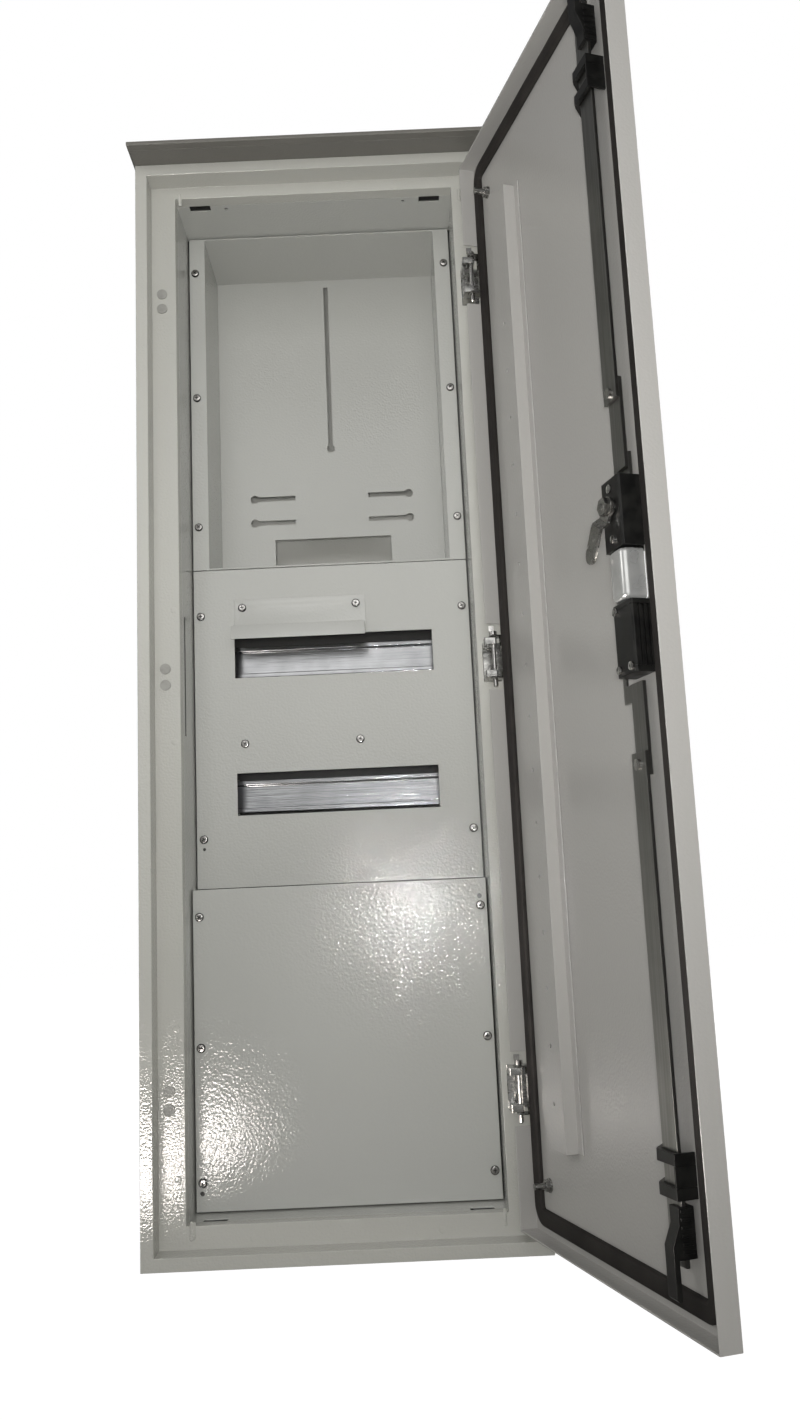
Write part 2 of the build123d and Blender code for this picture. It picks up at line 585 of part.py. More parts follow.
with BuildPart(door_frame) as lock_screws:
    for u, z in clamp_places:
        leaf_bar(u, z, 9, 18.2, 1.6)
        leaf_bar(u, z, 18.0, 20.0, 3.3)
    for u, z in case_places:
        leaf_bar(u, z, 10.5, 20.2, 1.6)
        leaf_bar(u, z, 20.0, 21.5, 3.4)
    for name, low in guide_levels:
        for z in (low + 4.5, low + guide_tall - 4.5):
            leaf_bar(rod_line - 38.0, z, door_sheet, 7.6, 1.6)
            leaf_bar(rod_line - 38.0, z, 7.5, 9.3, 3.2)
lock_screws.part.label = "lock_screws"
export_step(lock_screws.part, "parts/lock_screws.step")

# moving lock pieces
lean = 35.0
with BuildPart(door_frame) as spindle:
    leaf_bar(rod_line, spindle_height, -4.6, 21.9, 6.0)
    leaf_bar(rod_line, spindle_height, -4.6, -0.3, 9.0)
    leaf_bar(rod_line, spindle_height, -16.0, -4.6, 10.5)
    leaf_bar(rod_line, spindle_height, 21.9, 29.6, 3.0)
    with Locations(Location((-rod_line, door_front - 10.5, spindle_height))):
        Cylinder(2.1, 40, mode=Mode.SUBTRACT)
spindle.part.label = "spindle"
export_step(spindle.part, "parts/spindle.step")

# the cam leans to the hinge side when the lock is open
along_cam = Vector(0, 0, -1).rotate(Axis((0, 0, 0), (-sin(turn), cos(turn), 0)), -lean)
cam_side = door_frame.x_dir
inward = Vector(-sin(turn), cos(turn), 0)
axis_point = door_frame.origin - door_frame.x_dir * rod_line + Vector(0, 0, spindle_height) + inward * door_front
cam_plane = Plane(origin=axis_point + inward * 21.9, x_dir=along_cam, z_dir=inward)
with BuildPart() as cam:
    with BuildSketch(cam_plane) as root:
        with BuildLine():
            Polyline((-8, -9), (26, -6.5), (26, 6.5), (-8, 9), close=True)
        make_face()
        fillet(root.vertices().sort_by(SortBy.DISTANCE, reverse=False)[2:], 0.5)
    extrude(root.sketch, amount=3.0)
    with BuildSketch(Plane(origin=cam_plane.origin, x_dir=along_cam, z_dir=cam_plane.y_dir * -1)) as bend:
        with BuildLine():
            Polyline((24.0, 0.0), (24.0, 3.0), (28.0, 8.5), (49.0, 8.5), (49.0, 5.5), (29.6, 5.5), (25.6, 0.0),
                     close=True)
        make_face()
    extrude(bend.sketch, amount=6.5, both=True)
    with BuildSketch(cam_plane) as hole:
        Circle(3.2)
    extrude(hole.sketch, amount=8, both=True, mode=Mode.SUBTRACT)
cam.part.label = "cam"
export_step(cam.part, "parts/cam.step")

with BuildPart(door_frame) as spindle_nut:
    with BuildSketch(leaf_plane(24.9)) as nut:
        with Locations((rod_line, spindle_height)):
            RegularPolygon(7.5, 6)
    extrude(nut.sketch, amount=4.3)
    leaf_bar(rod_line, spindle_height, 22, 30, 3.1, Mode.SUBTRACT)
spindle_nut.part.label = "spindle_nut"
export_step(spindle_nut.part, "parts/spindle_nut.step")

# lever, turned to the hinge side while the lock is open
with BuildPart(door_frame) as lever:
    leaf_slab(rod_line - 132, rod_line - 13.5, -19.0, -6.0, spindle_height - 13, spindle_height + 13)
    fillet(lever.edges().filter_by(Axis(door_frame.origin, (-sin(turn), cos(turn), 0)))
           .sort_by(Axis(door_frame.origin, door_frame.x_dir))[-2:], 8.0)
    leaf_slab(rod_line - 14, rod_line + 4.2, -15.4, -6.5, spindle_height - 14.2, spindle_height - 11.0)
    leaf_slab(rod_line - 14, rod_line + 4.2, -15.4, -6.5, spindle_height + 11.0, spindle_height + 14.2)
    with Locations(Location((-rod_line, door_front - 10.5, spindle_height))):
        Cylinder(2.08, 40, mode=Mode.SUBTRACT)
lever.part.label = "lever"
export_step(lever.part, "parts/lever.step")

with BuildPart(door_frame) as lever_pin:
    with Locations(Location((-rod_line, door_front - 10.5, spindle_height))):
        Cylinder(2.0, 28.4)
lever_pin.part.label = "lever_pin"
export_step(lever_pin.part, "parts/lever_pin.step")

with BuildPart(door_frame) as key_plug:
    leaf_bar(rod_line, key_height, -4.4, 9.0, 8.0)
    leaf_slab(rod_line - 0.8, rod_line + 0.8, -5, 0, key_height - 4.5, key_height + 4.5, Mode.SUBTRACT)
key_plug.part.label = "key_plug"
export_step(key_plug.part, "parts/key_plug.step")

# upper rod train: link bar from the case, strap, rod and plastic tip
with BuildPart(door_frame) as upper_link:
    leaf_slab(rod_line - 10.3, rod_line + 10.3, 4.6, 7.6, spindle_height - 29.0, spindle_height + 44.0)
    # slot around the spindle, long enough for the travel
    leaf_slab(rod_line - 6.6, rod_line + 6.6, 4, 8, spindle_height - rod_travel, spindle_height, Mode.SUBTRACT)
    leaf_bar(rod_line, spindle_height, 4, 8, 6.6, Mode.SUBTRACT)
    leaf_bar(rod_line, spindle_height - rod_travel, 4, 8, 6.6, Mode.SUBTRACT)
upper_link.part.label = "upper_link"
export_step(upper_link.part, "parts/upper_link.step")

with BuildPart(door_frame) as upper_strap:
    leaf_slab(rod_line - 8.5, rod_line + 10.0, 7.6, 10.8, spindle_height + 31.0, upper_joint + 11.5)
    leaf_bar(rod_line, upper_joint, 0, 20, 2.6, Mode.SUBTRACT)
upper_strap.part.label = "upper_strap"
export_step(upper_strap.part, "parts/upper_strap.step")

with BuildPart(door_frame) as upper_rod:
    leaf_slab(rod_line - rod_width / 2, rod_line + rod_width / 2, 11.0, 14.0, upper_joint - 6.5, door_top - 43.0)
    leaf_bar(rod_line, upper_joint, 0, 20, 2.6, Mode.SUBTRACT)
upper_rod.part.label = "upper_rod"
export_step(upper_rod.part, "parts/upper_rod.step")

with BuildPart(door_frame) as lower_link:
    top = spindle_height - 4.0
    low = spindle_height - 154.0
    leaf_slab(rod_line - 21.5, rod_line - 16.2, 8.4, 10.4, low, top)
    leaf_slab(rod_line - 16.2, rod_line - 9.0, 8.4, 10.4, top - 8.0, top)
    leaf_slab(rod_line - 16.2, rod_line - 9.5, 8.4, 10.4, low, low + 14.0)
lower_link.part.label = "lower_link"
export_step(lower_link.part, "parts/lower_link.step")

with BuildPart(door_frame) as lower_strap:
    leaf_slab(rod_line - 9.5, rod_line + 9.5, 7.6, 10.8, lower_joint - 8.5, lower_joint + 63.5)
    leaf_bar(rod_line, lower_joint, 0, 20, 2.6, Mode.SUBTRACT)
lower_strap.part.label = "lower_strap"
export_step(lower_strap.part, "parts/lower_strap.step")

with BuildPart(door_frame) as lower_rod:
    leaf_slab(rod_line - rod_width / 2, rod_line + rod_width / 2, 11.0, 14.0, door_bottom + 43.0, lower_joint + 9.5)
    leaf_bar(rod_line, lower_joint, 0, 20, 2.6, Mode.SUBTRACT)
lower_rod.part.label = "lower_rod"
export_step(lower_rod.part, "parts/lower_rod.step")

for name, z in (("upper_rod_screw", upper_joint), ("lower_rod_screw", lower_joint)):
    with BuildPart(door_frame) as joint_screw:
        leaf_bar(rod_line, z, 6.6, 14.2, 2.4)
        leaf_bar(rod_line, z, 14.0, 16.4, 4.4)
        leaf_bar(rod_line, z, 5.4, 7.6, 4.4)
    joint_screw.part.label = name
    export_step(joint_screw.part, "parts/" + name + ".step")

# plastic tips with a ramped nose that reaches inwards
for name, start, way in (("upper_rod_tip", door_top - 22.0, -1), ("lower_rod_tip", door_bottom + 22.0, 1)):
    with BuildPart(door_frame) as tip:
        with BuildSketch(Plane(origin=door_frame.origin - door_frame.x_dir * (rod_line + 11.0),
                               x_dir=inward, z_dir=door_frame.x_dir)) as section:
            with BuildLine():
                side_points = [(5.0, 62.0), (17.5, 62.0), (17.5, 50.0), (23.6, 36.0), (23.6, 2.0), (21.6, 0.0),
                               (19.0, 0.0), (19.0, 27.0), (5.0, 27.0)]
                Polyline(*[(w + door_front, start + way * z) for w, z in side_points], close=True)
            make_face()
        extrude(section.sketch, amount=22.0)
        low, high = sorted((start + way * 20.0, start + way * 63.0))
        leaf_slab(rod_line - rod_width / 2, rod_line + rod_width / 2, 11.0, 14.0, low, high, Mode.SUBTRACT)
        for step in range(5):
            z = start + way * (31.5 + 6.0 * step)
            leaf_slab(rod_line + 9.8, rod_line + 12.0, 6.2, 16.4, z - 1.4, z + 1.4, Mode.SUBTRACT)
    tip.part.label = name
    export_step(tip.part, "parts/" + name + ".step")
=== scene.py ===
import bmesh
import bpy
import json
import math
import random
from mathutils import Matrix, Vector


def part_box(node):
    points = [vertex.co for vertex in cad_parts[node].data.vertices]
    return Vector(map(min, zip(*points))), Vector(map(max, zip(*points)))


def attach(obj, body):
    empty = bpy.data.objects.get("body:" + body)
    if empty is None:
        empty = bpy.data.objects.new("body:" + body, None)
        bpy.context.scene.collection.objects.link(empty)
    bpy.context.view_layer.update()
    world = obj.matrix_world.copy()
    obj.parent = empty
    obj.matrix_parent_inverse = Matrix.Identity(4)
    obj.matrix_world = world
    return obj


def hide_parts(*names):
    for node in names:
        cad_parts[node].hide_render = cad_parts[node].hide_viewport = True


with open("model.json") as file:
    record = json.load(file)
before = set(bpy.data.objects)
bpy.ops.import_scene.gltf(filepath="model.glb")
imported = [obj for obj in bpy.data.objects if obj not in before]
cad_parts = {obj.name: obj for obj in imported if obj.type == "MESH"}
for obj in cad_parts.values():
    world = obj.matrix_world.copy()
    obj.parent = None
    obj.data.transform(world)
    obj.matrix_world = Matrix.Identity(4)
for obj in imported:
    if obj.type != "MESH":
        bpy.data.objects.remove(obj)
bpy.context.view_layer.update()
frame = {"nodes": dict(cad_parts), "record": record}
nodes = frame["nodes"]
print("frame loaded:", len(nodes), "nodes")

milli = 0.001
perMetre = 1000               # turns what the frame gives into millimetres
frontShift = 0.125            # the rim's front face stands at y = -frontShift
doorTurn = math.radians(107)  # how far open the door stands at rest
pinLine = Vector((0.169, -frontShift, 0))
towardsHinge = Vector((math.cos(doorTurn), math.sin(doorTurn), 0))
doorInward = Vector((-math.sin(doorTurn), math.cos(doorTurn), 0))
doorFront = -0.0102           # the door's outer face, counted inwards from the pins
bodyOfNode = {name: body for body, names in frame["record"]["behaviour"]["bodies"].items() for name in names}


def doorPoint(u, w, z):
    # u from the hinge edge to the free edge, w from the outer face inwards, all in millimetres
    upright = Vector((0, 0, z * milli))
    return pinLine - towardsHinge * (u * milli) + doorInward * (w * milli + doorFront) + upright


def frontMatrix(x, y, z):
    # local X right, local Y up, local Z to the front; y counts from the rim
    turned = Matrix((Vector((1, 0, 0)), Vector((0, 0, 1)), Vector((0, -1, 0)))).transposed().to_4x4()
    return Matrix.Translation(Vector((x * milli, y * milli - frontShift, z * milli))) @ turned


# materials
class Wire:
    def __init__(self, tree, socket):
        self.tree = tree
        self.socket = socket

    def node(self, kind, settings=None, sockets=None, out=0):
        made = self.tree.nodes.new(kind)
        for key, value in (settings or {}).items():
            setattr(made, key, value)
        for key, value in (sockets or {}).items():
            if isinstance(value, Wire):
                self.tree.links.new(value.socket, made.inputs[key])
            else:
                made.inputs[key].default_value = value
        return Wire(self.tree, made.outputs[out])

    def maths(self, operation, other, swap=False):
        pair = (other, self) if swap else (self, other)
        return self.node("ShaderNodeMath", {"operation": operation}, {0: pair[0], 1: pair[1]})

    def __add__(self, other):
        return self.maths("ADD", other)

    def __radd__(self, other):
        return self.maths("ADD", other, True)

    def __sub__(self, other):
        return self.maths("SUBTRACT", other)

    def __rsub__(self, other):
        return self.maths("SUBTRACT", other, True)

    def __mul__(self, other):
        return self.maths("MULTIPLY", other)

    def __rmul__(self, other):
        return self.maths("MULTIPLY", other, True)

    def blend(self, other, share):
        return self * (1 - share) + other * share

    def stretch(self, x, y, z):
        return self.node("ShaderNodeMapping", None, {"Vector": self, "Scale": (x, y, z)})

    def noise(self, scale, detail, roughness):
        return self.node("ShaderNodeTexNoise", None, {"Vector": self, "Scale": scale, "Detail": detail,
                                                      "Roughness": roughness})

    def steps(self, low, high):
        return self.node("ShaderNodeMapRange", {"interpolation_type": "SMOOTHSTEP"},
                         {"Value": self, "From Min": low, "From Max": high})

    def tint(self, first, second):
        colours = {0: self, 6: (*first, 1.0), 7: (*second, 1.0)}
        return self.node("ShaderNodeMix", {"data_type": "RGBA"}, colours, 2)

    def bump(self, strength, depth):
        return self.node("ShaderNodeBump", None, {"Strength": strength, "Distance": depth, "Height": self})


def newMaterial(name, fixed, build):
    # fixed values go straight to the shader's sockets, build returns the ones that change over the surface
    material = bpy.data.materials.new(name)
    material.use_nodes = True
    tree = material.node_tree
    shader = next(n for n in tree.nodes if n.type == "BSDF_PRINCIPLED")
    for key, value in fixed.items():
        shader.inputs[key].default_value = value
    start = Wire(tree, None)
    place = start.node("ShaderNodeTexCoord", None, None, "Object")
    for key, value in build(place).items():
        tree.links.new(value.socket, shader.inputs[key])
    return material


# powder coats: colours, the scales of their patterns, and the depth of the orange peel
coatLook = {
    "outside": {"colour": (0.530, 0.528, 0.491), "shade": (0.505, 0.502, 0.465), "peel": 430, "fine": 1300,
                "smudge": 7.0, "depth": 0.00036, "rough": 0.05},
    "inside": {"colour": (0.505, 0.509, 0.484), "shade": (0.482, 0.485, 0.459), "peel": 400, "fine": 1300,
               "smudge": 6.0, "depth": 0.00029, "rough": 0.05},
    "doorInside": {"colour": (0.450, 0.440, 0.420), "shade": (0.420, 0.411, 0.394), "peel": 420, "fine": 1200,
                   "smudge": 3.0, "depth": 0.00022, "rough": 0.16},
    # painted light: the hood's coat is lighter than the inside coat, standing for the light that its lip
    # catches
    "hood": {"colour": (0.585, 0.590, 0.565), "shade": (0.560, 0.563, 0.540), "peel": 400, "fine": 1300,
             "smudge": 6.0, "depth": 0.00029, "rough": 0.05},
    # painted shade: a near-black coat that stands for the unlit cavity inside the shell and in the slits
    "hollowShade": {"colour": (0.085, 0.084, 0.080), "shade": (0.070, 0.069, 0.066), "peel": 400, "fine": 1100,
               "smudge": 6.0, "depth": 0.00020, "rough": 0.35},
    # the canopy's coat is a dark grey-brown, made darker still as painted shade for the canopy's underside
    "canopy": {"colour": (0.180, 0.174, 0.157), "shade": (0.160, 0.154, 0.138), "peel": 400, "fine": 1100,
               "smudge": 6.0, "depth": 0.00034, "rough": 0.20},
}
coatPattern = {"steps": (0.15, 0.85), "fineShare": 0.1, "peelShare": 0.2, "strength": 1.0, "spread": 0.05}


def powderCoat(name, look):
    def build(place):
        peel = place.noise(look["peel"], 1.0, 0.4)
        fine = place.noise(look["fine"], 1.0, 0.5)
        smudge = place.noise(look["smudge"], 2.0, 0.5).steps(*coatPattern["steps"])
        height = peel.blend(fine, coatPattern["fineShare"])
        patches = smudge.blend(peel, coatPattern["peelShare"])
        return {"Base Color": patches.tint(look["colour"], look["shade"]),
                "Roughness": smudge * coatPattern["spread"] + look["rough"],
                "Normal": height.bump(coatPattern["strength"], look["depth"])}
    return newMaterial(name, {"Specular IOR Level": 0.5, "Metallic": 0.0}, build)


# metals with fine lines over a cloud: "line" has a noise's detail and roughness, "cloud" its scale as well
linedLook = {
    "zinc": {"light": (0.46, 0.46, 0.445), "dark": (0.24, 0.24, 0.232), "stretch": (60, 60, 900),
             "line": (2.0, 0.5), "cloud": (120, 3.0, 0.6), "cloudShare": 0.6, "steps": (0.35, 0.65),
             "strength": 0.15, "depth": 0.00008, "rough": 0.18, "spread": 0.14},
    "rail": {"light": (0.40, 0.407, 0.417), "dark": (0.30, 0.306, 0.315), "stretch": (7, 900, 900),
             "line": (2.5, 0.6), "cloud": (30, 2.0, 0.5), "cloudShare": 0.7, "steps": (0.25, 0.75),
             "strength": 1.0, "depth": 0.00012, "rough": 0.16, "spread": 0.06},
    "post": {"light": (0.115, 0.115, 0.112), "dark": (0.075, 0.075, 0.073), "stretch": (500, 500, 9),
             "line": (2.0, 0.5), "cloud": (16, 2.0, 0.5), "cloudShare": 0.5, "steps": (0.3, 0.7),
             "strength": 0.15, "depth": 0.00006, "rough": 0.30, "spread": 0.1},
    "strip": {"light": (0.26, 0.262, 0.25), "dark": (0.19, 0.19, 0.182), "stretch": (500, 500, 9),
              "line": (2.0, 0.5), "cloud": (16, 2.0, 0.5), "cloudShare": 0.5, "steps": (0.3, 0.7),
              "strength": 0.15, "depth": 0.00006, "rough": 0.30, "spread": 0.1},
}


def linedMetal(name, look):
    def build(place):
        line = place.stretch(*look["stretch"]).noise(1.0, *look["line"])
        cloud = place.noise(*look["cloud"])
        mask = line.blend(cloud, look["cloudShare"]).steps(*look["steps"])
        return {"Base Color": mask.tint(look["light"], look["dark"]),
                "Roughness": mask * look["spread"] + look["rough"],
                "Normal": line.bump(look["strength"], look["depth"])}
    return newMaterial(name, {"Metallic": 1.0}, build)


# plain cloudy steel of the small hardware
steelLook = {
    "bright": {"light": (0.60, 0.595, 0.58), "dark": (0.34, 0.335, 0.325), "rough": 0.13},
    "cam": {"light": (0.40, 0.395, 0.38), "dark": (0.35, 0.345, 0.33), "rough": 0.20},
    "screw": {"light": (0.62, 0.61, 0.59), "dark": (0.36, 0.352, 0.34), "rough": 0.18},
    "screwShade": {"light": (0.075, 0.074, 0.07), "dark": (0.045, 0.044, 0.042), "rough": 0.30},
}
steelPattern = {"cloud": (140, 2.0, 0.5), "steps": (0.3, 0.7), "spread": 0.1}


def brightSteel(name, look):
    def build(place):
        cloud = place.noise(*steelPattern["cloud"]).steps(*steelPattern["steps"])
        return {"Base Color": cloud.tint(look["light"], look["dark"]),
                "Roughness": cloud * steelPattern["spread"] + look["rough"]}
    return newMaterial(name, {"Metallic": 1.0}, build)


# satin, moulded and foamed finishes: a cloud for the colour and fine pores for the surface
poreLook = {
    "dish": {"light": (0.60, 0.605, 0.595), "dark": (0.50, 0.505, 0.50), "cloud": (55, 2.0, 0.5),
             "steps": (0.3, 0.7), "pore": (2200, 1.0, 0.5), "strength": 0.12, "depth": 0.00005,
             "rough": 0.20, "spread": 0.08, "shine": 0.6, "metal": 0.55},
    "black": {"light": (0.006, 0.006, 0.006), "dark": (0.013, 0.013, 0.012), "cloud": (90, 3.0, 0.55),
              "steps": (0.35, 0.7), "pore": (1800, 1.0, 0.5), "strength": 0.25, "depth": 0.00006,
              "rough": 0.30, "spread": 0.12, "shine": 0.34, "metal": 0.0},
    "plug": {"light": (0.37, 0.367, 0.343), "dark": (0.31, 0.307, 0.287), "cloud": (90, 3.0, 0.55),
             "steps": (0.35, 0.7), "pore": (1800, 1.0, 0.5), "strength": 0.25, "depth": 0.00006,
             "rough": 0.60, "spread": 0.12, "shine": 0.34, "metal": 0.0},
    "rubber": {"light": (0.010, 0.008, 0.007), "dark": (0.020, 0.017, 0.015), "cloud": (25, 2.0, 0.5),
               "steps": (0.3, 0.7), "pore": (1500, 2.0, 0.6), "strength": 0.6, "depth": 0.0002,
               "rough": 0.62, "spread": 0.15, "shine": 0.3, "metal": 0.0},
}


def poredSkin(name, look, roughFromPores=False):
    def build(place):
        cloud = place.noise(*look["cloud"]).steps(*look["steps"])
        pore = place.noise(*look["pore"])
        uneven = pore if roughFromPores else cloud
        return {"Base Color": cloud.tint(look["light"], look["dark"]),
                "Roughness": uneven * look["spread"] + look["rough"],
                "Normal": pore.bump(look["strength"], look["depth"])}
    return newMaterial(name, {"Specular IOR Level": look["shine"], "Metallic": look["metal"]}, build)


paint = {
    "outside": powderCoat("greyCoatOutside", coatLook["outside"]),
    "inside": powderCoat("greyCoatInside", coatLook["inside"]),
    "door": powderCoat("greyCoatDoorInside", coatLook["doorInside"]),
    "canopy": powderCoat("canopyCoatWithShade", coatLook["canopy"]),
    "zinc": linedMetal("zincPlate", linedLook["zinc"]),
    "post": linedMetal("postSteel", linedLook["post"]),
    "strip": linedMetal("rodStrip", linedLook["strip"]),
    "rail": linedMetal("railSteel", linedLook["rail"]),
    "bright": brightSteel("brightSteel", steelLook["bright"]),
    "cam": brightSteel("camSteel", steelLook["cam"]),
    "screw": brightSteel("screwSteel", steelLook["screw"]),
    "screwShade": brightSteel("screwShade", steelLook["screwShade"]),
    "dish": poredSkin("satinDish", poreLook["dish"]),
    "black": poredSkin("blackPlastic", poreLook["black"]),
    "plug": poredSkin("greyPlug", poreLook["plug"]),
    "rubber": poredSkin("foamRubber", poreLook["rubber"], roughFromPores=True),
    "hollowShade": powderCoat("cavityShade", coatLook["hollowShade"]),
    "hood": powderCoat("litHoodCoat", coatLook["hood"]),
}
print("materials made")


# mesh helpers: corners join within "meld" metres, "sharp" and "fold" are angles in radians
meshLook = {"meld": 0.000004, "sharp": 0.6, "fold": 0.7, "weight": 90}


def finishShape(shape, name, material, body, slotName, sharp, weighted=False):
    for face in shape.faces:
        face.smooth = True
    for edge in shape.edges:
        edge.smooth = not (edge.is_manifold and edge.calc_face_angle() > sharp)
    mesh = bpy.data.meshes.new(name)
    shape.to_mesh(mesh)
    shape.free()
    mesh.materials.append(material)
    piece = bpy.data.objects.new(name, mesh)
    bpy.context.scene.collection.objects.link(piece)
    if weighted:
        even = piece.modifiers.new("evenNormals", "WEIGHTED_NORMAL")
        even.keep_sharp = True
        even.weight = meshLook["weight"]
    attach(piece, body)
    return piece


def slotOf(nodeName):
    for row in frame["record"]["subparts"]:
        if row["node"] == nodeName:
            return row["material_slot"]
    return "powder_grey"


def standIn(shape, nodeName, material, sharp=meshLook["sharp"], weighted=False):
    # a finished shape under its node's name and on the node's body
    name, body = nodeName + "_shown", bodyOfNode[nodeName]
    return finishShape(shape, name, material, body, slotOf(nodeName), sharp, weighted)


def copyOf(nodeName):
    # the node's mesh, with its loose triangles joined
    shape = bmesh.new()
    shape.from_mesh(nodes[nodeName].data)
    bmesh.ops.remove_doubles(shape, verts=shape.verts, dist=meshLook["meld"])
    return shape


def foldsOf(shape, angle):
    return [e for e in shape.edges if e.is_manifold and e.calc_face_angle() > angle]


def roundOver(shape, folds, edge, clamped=True):
    bmesh.ops.bevel(shape, geom=folds, offset=edge * milli, offset_type="OFFSET", segments=2, profile=0.5,
                    affect="EDGES", clamp_overlap=clamped, material=-1)


def softened(nodeName, material, edge, shortest):
    # a copy of the node with its sharp edges rounded, where they are longer than the shortest
    shape = copyOf(nodeName)
    folds = [e for e in foldsOf(shape, meshLook["fold"]) if e.calc_length() > shortest * milli]
    if folds:
        roundOver(shape, folds, edge, False)
    piece = standIn(shape, nodeName, material, weighted=True)
    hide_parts(nodeName)
    return piece


def mergeInto(target, part, matrix):
    # adds a small shape to a larger one at its place
    mesh = bpy.data.meshes.new("passing")
    part.to_mesh(mesh)
    mesh.transform(matrix)
    target.from_mesh(mesh)
    bpy.data.meshes.remove(mesh)


# camera, floor and light
cameraSpot = {"place": (0.0701, -1.2751, 0.3164), "yaw": 0.06, "pitch": 10.01, "roll": 2.55, "lens": 29.48,
              "sensor": 36, "clip": (0.01, 60)}


def makeCamera(spot):
    yaw, pitch, roll = (math.radians(spot[k]) for k in ("yaw", "pitch", "roll"))
    ahead = Vector((math.sin(yaw) * math.cos(pitch), math.cos(yaw) * math.cos(pitch), math.sin(pitch)))
    right = Vector((math.cos(yaw), -math.sin(yaw), 0))
    up = right.cross(ahead)
    tiltedRight = math.cos(roll) * right - math.sin(roll) * up
    tiltedUp = math.sin(roll) * right + math.cos(roll) * up
    turned = Matrix((tiltedRight, tiltedUp, -ahead)).transposed().to_4x4()
    lens = bpy.data.cameras.new("viewCamera")
    lens.lens = spot["lens"]
    lens.sensor_width = spot["sensor"]
    lens.sensor_fit = "AUTO"
    lens.clip_start, lens.clip_end = spot["clip"]
    camera = bpy.data.objects.new("viewCamera", lens)
    camera.matrix_world = Matrix.Translation(Vector(spot["place"])) @ turned
    bpy.context.scene.collection.objects.link(camera)
    bpy.context.scene.camera = camera


makeCamera(cameraSpot)

studio = {"worldColour": (1, 1, 1, 1), "worldFill": 0.22, "glossyDrop": 0.06, "worldMost": 1.0,
          "floorSize": 14.0, "floorColour": (0.42, 0.415, 0.40, 1),
          "glowColour": (1, 1, 1, 1), "glowShare": 0.68, "glow": 1.43}
lamps = {
    "frontSoft": {"shape": "RECTANGLE", "size": (3.2, 1.6), "power": 24.0, "tone": (1.0, 0.99, 0.97),
                  "place": (0.30, -3.1, 1.65), "aim": (0.0, 0.0, 0.95), "seenBy": ("diffuse", "glossy")},
    "sideSoft": {"shape": "RECTANGLE", "size": (1.2, 1.2), "power": 13.0, "tone": (1.0, 0.985, 0.96),
                 "place": (-2.4, -1.3, 1.9), "aim": (0.2, -0.1, 0.9), "seenBy": ("diffuse", "glossy")},
    "backSoft": {"shape": "RECTANGLE", "size": (2.4, 1.8), "power": 60.0, "tone": (1.0, 0.995, 0.98),
                 "place": (1.1, 2.9, 2.2), "aim": (0.0, 0.1, 0.6), "seenBy": ("diffuse", "glossy")},
    "riseSoft": {"shape": "ELLIPSE", "size": (0.16, 0.16), "power": 11.0, "tone": (1.0, 0.995, 0.98),
                 "place": (0.055, -1.35, 0.33), "aim": (0.02, -0.15, 2.2), "seenBy": ("diffuse",)},
    "handGlint": {"shape": "ELLIPSE", "size": (0.03, 0.03), "power": 2.0, "tone": (1.0, 1.0, 1.0),
                  "place": (0.076, -1.29, 0.328), "aim": (0.07, 0.0, 0.33), "seenBy": ("glossy",)},
    "lowGlow": {"shape": "ELLIPSE", "size": (0.32, 0.60), "power": 14.5, "tone": (1.0, 0.93, 0.88),
                "place": (-0.33, -0.55, 0.012), "aim": (-0.33, -0.55, 1.0), "seenBy": ("glossy",)},
}


def makeLamps():
    for name, look in lamps.items():
        data = bpy.data.lights.new(name, "AREA")
        data.shape = look["shape"]
        data.size, data.size_y = look["size"]
        data.energy = look["power"]
        data.color = look["tone"]
        lamp = bpy.data.objects.new(name, data)
        lamp.visible_camera = False
        lamp.visible_diffuse = "diffuse" in look["seenBy"]
        lamp.visible_glossy = "glossy" in look["seenBy"]
        lamp.location = look["place"]
        way = Vector(look["aim"]) - Vector(look["place"])
        lamp.rotation_euler = way.to_track_quat("-Z", "Y").to_euler()
        bpy.context.scene.collection.objects.link(lamp)


def makeWorld():
    world = bpy.data.worlds.new("studioWorld")
    bpy.context.scene.world = world
    world.use_nodes = True
    tree = world.node_tree
    tree.nodes.clear()
    start = Wire(tree, None)
    seen = start.node("ShaderNodeLightPath", None, None, "Is Camera Ray")
    glossy = start.node("ShaderNodeLightPath", None, None, "Is Glossy Ray")
    strength = seen + studio["worldFill"] - glossy * studio["glossyDrop"]
    strength = strength.maths("MINIMUM", studio["worldMost"])
    sky = start.node("ShaderNodeBackground", None, {"Color": studio["worldColour"], "Strength": strength})
    tree.links.new(sky.socket, tree.nodes.new("ShaderNodeOutputWorld").inputs["Surface"])


def makeFloor():
    shape = bmesh.new()
    bmesh.ops.create_grid(shape, x_segments=2, y_segments=2, size=studio["floorSize"] / 2)
    mesh = bpy.data.meshes.new("studioFloor")
    shape.to_mesh(mesh)
    shape.free()
    floor = bpy.data.objects.new("studioFloor", mesh)
    bpy.context.scene.collection.objects.link(floor)
    material = bpy.data.materials.new("paleFloor")
    material.use_nodes = True
    tree = material.node_tree
    tree.nodes.clear()
    start = Wire(tree, None)
    seen = start.node("ShaderNodeLightPath", None, None, "Is Camera Ray")
    matt = start.node("ShaderNodeBsdfDiffuse", None, {"Color": studio["floorColour"]})
    glow = start.node("ShaderNodeEmission", None, {"Color": studio["glowColour"], "Strength": studio["glow"]})
    both = start.node("ShaderNodeMixShader", None, {0: seen * studio["glowShare"], 1: matt, 2: glow})
    tree.links.new(both.socket, tree.nodes.new("ShaderNodeOutputMaterial").inputs["Surface"])
    mesh.materials.append(material)


makeWorld()
makeFloor()
makeLamps()
bpy.context.scene.view_settings.view_transform = "Standard"
print("camera, floor and lamps placed")


